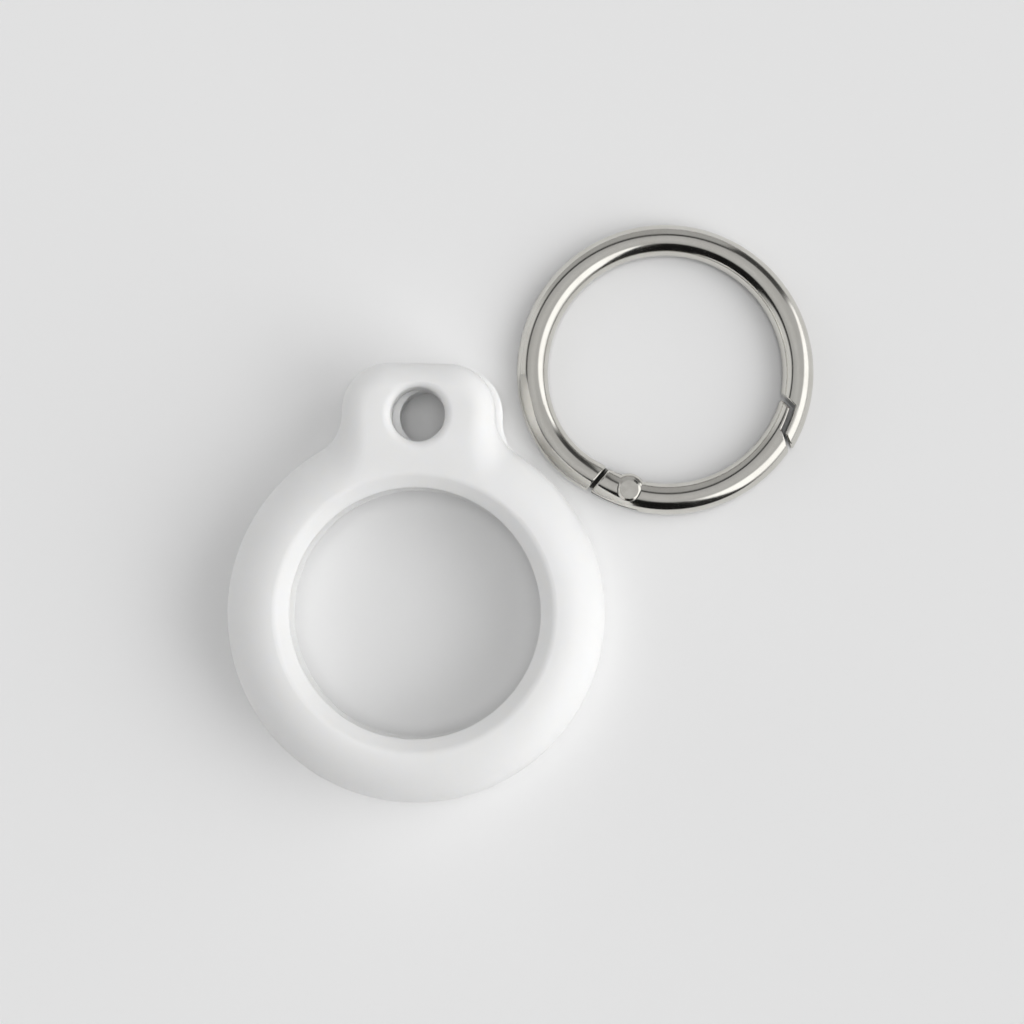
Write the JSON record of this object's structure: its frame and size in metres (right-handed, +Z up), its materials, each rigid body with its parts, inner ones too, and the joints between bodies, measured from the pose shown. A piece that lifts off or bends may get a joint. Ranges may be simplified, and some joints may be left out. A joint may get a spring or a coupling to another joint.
{
  "type": "tracker tag holder",
  "caption": "Round split holder that clamps a coin-shaped tracker tag by its rim with a twist lock, and has a lug hole for the spring-gate key ring that lies beside it.",
  "frame": {"origin": "on the holder's axis, in the plane of the floor that the holder and the key ring lie on", "axes": "+Z up along the holder's axis, +Y towards the front shell's lug, +X to the right with the lug pointing away"},
  "size_m": [0.0616, 0.0616, 0.0108],
  "materials": {
    "shell": "fine matte white moulding",
    "plated_ring": "polished nickel plate",
    "rivet": "polished nickel plate",
    "spring": "drawn wire"
  },
  "bodies": {
    "holder_back": {"back_shell": "shell"},
    "holder_front": {"front_shell": "shell"},
    "key_ring": {"ring_body": "plated_ring"},
    "gate": {"ring_gate": "plated_ring", "hinge_rivet": "rivet", "gate_spring": "spring"}
  },
  "joints": [
    {"name": "twist_lock", "type": "hinge", "parent": "holder_back", "child": "holder_front", "pos_m": [0, 0, 0.0054], "axis": [0, 0, 1], "range_deg": [-2.2, 26]},
    {"name": "ring_lift", "type": "slide", "parent": "holder_back", "child": "key_ring", "axis": [0, 0, 1], "range_m": [0, 0.02]},
    {"name": "gate_hinge", "type": "hinge", "parent": "key_ring", "child": "gate", "pos_m": [0.0223, 0.01344, 0.00165], "axis": [0, 0, 1], "range_deg": [0, 25], "stiffness_Nm_per_rad": 0.004, "springref_deg": -28.65}
  ]
}
